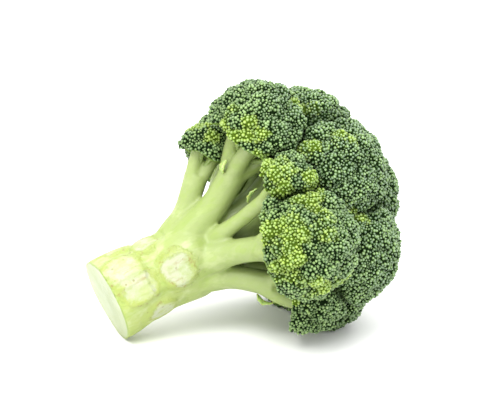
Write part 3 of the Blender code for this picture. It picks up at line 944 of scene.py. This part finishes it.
def lay_out_bake(mesh, floret, core_faces, bud_faces):
    """Lays the crown out on its bake map: a tile for each bud on the lower part, and the core's two sides above. The
    core's faces come first in the mesh."""
    loops = len(mesh.loops)
    starts = np.empty(len(mesh.polygons), np.int32)
    mesh.polygons.foreach_get("loop_start", starts)
    corner = np.empty(loops, np.int32)
    mesh.loops.foreach_get("vertex_index", corner)
    own = np.zeros((loops, 2), np.float32)
    mesh.uv_layers["petal"].uv.foreach_get("vector", own.ravel())
    count = (len(mesh.polygons) - core_faces) // bud_faces
    first = starts[core_faces]
    columns = math.ceil(math.sqrt(count / BUDS_SHARE))
    rows = math.ceil(count / columns)
    which = np.arange(count).repeat((loops - first) // count)
    tile = np.stack([which % columns, which // columns], 1)
    places = np.zeros((loops, 2), np.float32)
    places[first:] = (tile + own[first:]) / (columns, rows) * (1, BUDS_SHARE)
    flat = np.array(dome_direction(floret.turn, floret.lean).to_track_quat("Z", "Y").to_matrix())
    local = (points_of(mesh)[corner[:first]] - np.array(ball_centre(floret))) @ flat
    local /= np.abs(local).max() * 2.05
    side = np.where(local[:, 2] > -0.02, 0.25, 0.75)
    places[:first] = np.stack([side + local[:, 0] * 0.48, 0.86 + local[:, 1] * 0.26], 1)
    mesh.uv_layers.remove(mesh.uv_layers["petal"])
    mesh.uv_layers.new(name="OFBake").uv.foreach_set("vector", places.ravel())


# Small pieces


def twiglets(curve):
    """Thin twigs that spread from each fork to the underside of its crown."""
    for floret in FLORETS:
        _, _, fork, axis = stem_line(floret)
        centre = ball_centre(floret)
        side = axis.orthogonal().normalized()
        count = round(9 + floret.radius * 260)
        for i in range(count):
            share = math.sqrt((i + 0.5) / count)
            turned = Matrix.Rotation(i * GOLDEN_TURN, 3, axis)
            spread = turned @ side * (floret.radius * 0.74 * share)
            start = fork + axis * 0.001 + spread * 0.18
            end = centre + spread + axis * (floret.radius * (0.24 - 0.30 * share))
            middle = start.lerp(end, 0.55) + spread * 0.10
            size = 0.0016 - 0.0004 * share
            add_branch(curve, [start, middle, end], [size * 1.3, size, size * 0.85])


def make_twiglets(finish):
    mesh = branches_mesh("twiglets", twiglets, 1)
    bm = bmesh.new()
    bm.from_mesh(mesh)
    bmesh.ops.recalc_face_normals(bm, faces=bm.faces)
    bm.to_mesh(mesh)
    bm.free()
    count = len(mesh.vertices)
    set_attribute(mesh, "scar", np.full(count, NO_SCAR))
    set_attribute(mesh, "across", np.zeros(count))
    set_attribute(mesh, "face", np.zeros(count))
    # The twiglets under the crowns get painted shade.
    set_attribute(mesh, "deep", np.full(count, 0.6))
    mesh.transform(LIES)
    mesh.materials.clear()
    mesh.materials.append(finish)
    return finished(link("twiglets", mesh), "stem_skin")


def leaf_place(leaf):
    """Where a leaf stands on its stem: its foot on the stem's side, and its length along the stem."""
    floret = next(f for f in FLORETS if f.name == leaf.floret)
    root, bend, fork, _ = stem_line(floret)
    t = leaf.along
    foot = root * (2 * (t - 0.5) * (t - 1)) + bend * (4 * t * (1 - t)) + fork * (2 * t * (t - 0.5))
    along = (fork - foot).normalized()
    below = -(UP - along * UP.dot(along)).normalized()
    side = Matrix.Rotation(math.radians(leaf.around), 3, along) @ below
    lean = math.radians(leaf.lean)
    up = along * math.cos(lean) + side * math.sin(lean)
    out = side * math.cos(lean) - along * math.sin(lean)
    turned = Matrix((out, up.cross(out), up)).transposed().to_4x4()
    return Matrix.Translation(foot + side * (floret.stem_radius + 0.0008)) @ turned


def make_leaf(leaf, finish):
    """A small pointed leaf, cupped along its midrib."""
    bm = bmesh.new()
    bmesh.ops.create_grid(bm, x_segments=6, y_segments=14, size=0.5)
    across = {}
    for vertex in bm.verts:
        along = vertex.co.y + 0.5
        sideways = vertex.co.x * 2
        across[vertex.index] = abs(sideways)
        narrow = math.sin(math.pi * min(max(along, 0.015), 0.985)) ** 0.6 * (1.25 - 0.6 * along)
        wave = 0.0004 * math.sin(along * 19 + 2 * sideways) * abs(sideways)
        cupped = leaf.width * (0.30 * math.sin(math.pi * along) + 0.22 * sideways**2 * narrow)
        vertex.co = Vector((cupped + wave, sideways * 0.5 * leaf.width * narrow, along * leaf.length))
    mesh = bpy.data.meshes.new("leaf")
    bm.to_mesh(mesh)
    bm.free()
    set_attribute(mesh, "rib", [across[i] for i in range(len(mesh.vertices))])
    obj = link("leaf", mesh)
    wall = obj.modifiers.new("Thickness", "SOLIDIFY")
    wall.thickness = 0.0007
    wall.offset = 0
    smooth = obj.modifiers.new("Smooth", "SUBSURF")
    smooth.levels = smooth.render_levels = 1
    mesh = with_modifiers(obj)
    bm = bmesh.new()
    bm.from_mesh(mesh)
    bmesh.ops.recalc_face_normals(bm, faces=bm.faces)
    bm.to_mesh(mesh)
    bm.free()
    mesh.transform(LIES @ leaf_place(leaf))
    mesh.materials.clear()
    mesh.materials.append(finish)
    return finished(link("small_leaf_" + leaf.name, mesh), "leaf", "leaf_" + leaf.name)


# Stage


def make_floor(settings):
    bm = bmesh.new()
    bmesh.ops.create_grid(bm, x_segments=1, y_segments=1, size=4)
    mesh = bpy.data.meshes.new("floor")
    bm.to_mesh(mesh)
    bm.free()
    s = Shades("floor")
    s.shader.inputs["Base Color"].default_value = settings.floor_colour
    s.shader.inputs["Roughness"].default_value = 0.9
    s.shader.inputs["Specular IOR Level"].default_value = 0.1
    mesh.materials.append(s.material)
    link("floor", mesh)


def aim(obj, place, target):
    obj.location = place
    obj.rotation_euler = (Vector(target) - Vector(place)).to_track_quat("-Z", "Y").to_euler()


def make_lights(settings):
    world = bpy.data.worlds.new("studio")
    world.use_nodes = True
    back = world.node_tree.nodes["Background"]
    back.inputs["Color"].default_value = (1, 1, 1, 1)
    back.inputs["Strength"].default_value = settings.sky
    bpy.context.scene.world = world
    for name, place, size, power in (
        ("key", (-0.35, -0.55, 1.05), 0.7, settings.key),
        ("rim", (0.55, 0.65, 0.75), 0.6, settings.key * 0.35),
    ):
        lamp = bpy.data.lights.new(name, "AREA")
        lamp.size = size
        lamp.energy = power
        obj = bpy.data.objects.new(name, lamp)
        bpy.context.scene.collection.objects.link(obj)
        aim(obj, place, (0, 0, 0.06))


def make_camera(settings):
    turn, rise = settings.turn, settings.rise
    right = Vector((math.cos(turn), -math.sin(turn), 0))
    back = Vector((-math.sin(turn) * math.cos(rise), -math.cos(turn) * math.cos(rise), math.sin(rise)))
    up = back.cross(right)
    target = LIES.translation + right * 0.0715 + up * 0.0490
    camera = bpy.data.cameras.new("camera")
    camera.lens = settings.lens
    obj = bpy.data.objects.new("camera", camera)
    bpy.context.scene.collection.objects.link(obj)
    aim(obj, target + back * settings.distance, target)
    bpy.context.scene.camera = obj
    bpy.context.scene.view_settings.view_transform = "Standard"


class BROCCOLI_OT_stage(bpy.types.Operator):
    """Set up the floor, the lights and the camera"""

    bl_idname = "broccoli.stage"
    bl_label = "Stage"

    def execute(self, context):
        settings = context.scene.broccoli_stage
        make_floor(settings)
        make_lights(settings)
        make_camera(settings)
        return {"FINISHED"}


class BROCCOLI_OT_stalk(bpy.types.Operator):
    """Grow the stalk, the stems and the thin twigs under the crowns"""

    bl_idname = "broccoli.stalk"
    bl_label = "Stalk and stems"

    def execute(self, context):
        settings = context.scene.broccoli_stalk
        finish = skin_material(settings)
        make_stalk(settings, finish)
        make_twiglets(finish)
        return {"FINISHED"}


class BROCCOLI_OT_crowns(bpy.types.Operator):
    """Cover every crown with flower buds"""

    bl_idname = "broccoli.crowns"
    bl_label = "Crowns"

    def execute(self, context):
        settings = context.scene.broccoli_buds
        make_crowns(settings, bud_material(settings))
        return {"FINISHED"}


class BROCCOLI_OT_leaves(bpy.types.Operator):
    """Add the small leaves among the stems"""

    bl_idname = "broccoli.leaves"
    bl_label = "Leaves"

    def execute(self, context):
        finish = leaf_material()
        for leaf in LEAVES:
            make_leaf(leaf, finish)
        return {"FINISHED"}


OPERATORS = (BROCCOLI_OT_stage, BROCCOLI_OT_stalk, BROCCOLI_OT_crowns, BROCCOLI_OT_leaves)


class BROCCOLI_PT_panel(bpy.types.Panel):
    """The steps that build the head"""

    bl_idname = "BROCCOLI_PT_panel"
    bl_label = "Broccoli Head"
    bl_space_type = "VIEW_3D"
    bl_region_type = "UI"
    bl_category = "Broccoli"

    def draw(self, context):
        for operator in OPERATORS:
            self.layout.operator(operator.bl_idname)
        for group in (context.scene.broccoli_stage, context.scene.broccoli_stalk, context.scene.broccoli_buds):
            box = self.layout.box()
            for name in group.bl_rna.properties.keys():
                if name not in {"rna_type", "name"}:
                    box.prop(group, name)


CLASSES = (StageSettings, StalkSettings, BudSettings, *OPERATORS, BROCCOLI_PT_panel)


def register():
    for cls in CLASSES:
        bpy.utils.register_class(cls)
    bpy.types.Scene.broccoli_stage = bpy.props.PointerProperty(type=StageSettings)
    bpy.types.Scene.broccoli_stalk = bpy.props.PointerProperty(type=StalkSettings)
    bpy.types.Scene.broccoli_buds = bpy.props.PointerProperty(type=BudSettings)


def unregister():
    del bpy.types.Scene.broccoli_buds
    del bpy.types.Scene.broccoli_stalk
    del bpy.types.Scene.broccoli_stage
    for cls in reversed(CLASSES):
        bpy.utils.unregister_class(cls)


def main():
    register()
    bpy.ops.broccoli.stage()
    bpy.ops.broccoli.stalk()
    bpy.ops.broccoli.crowns()
    bpy.ops.broccoli.leaves()


if __name__ == "__main__":
    main()
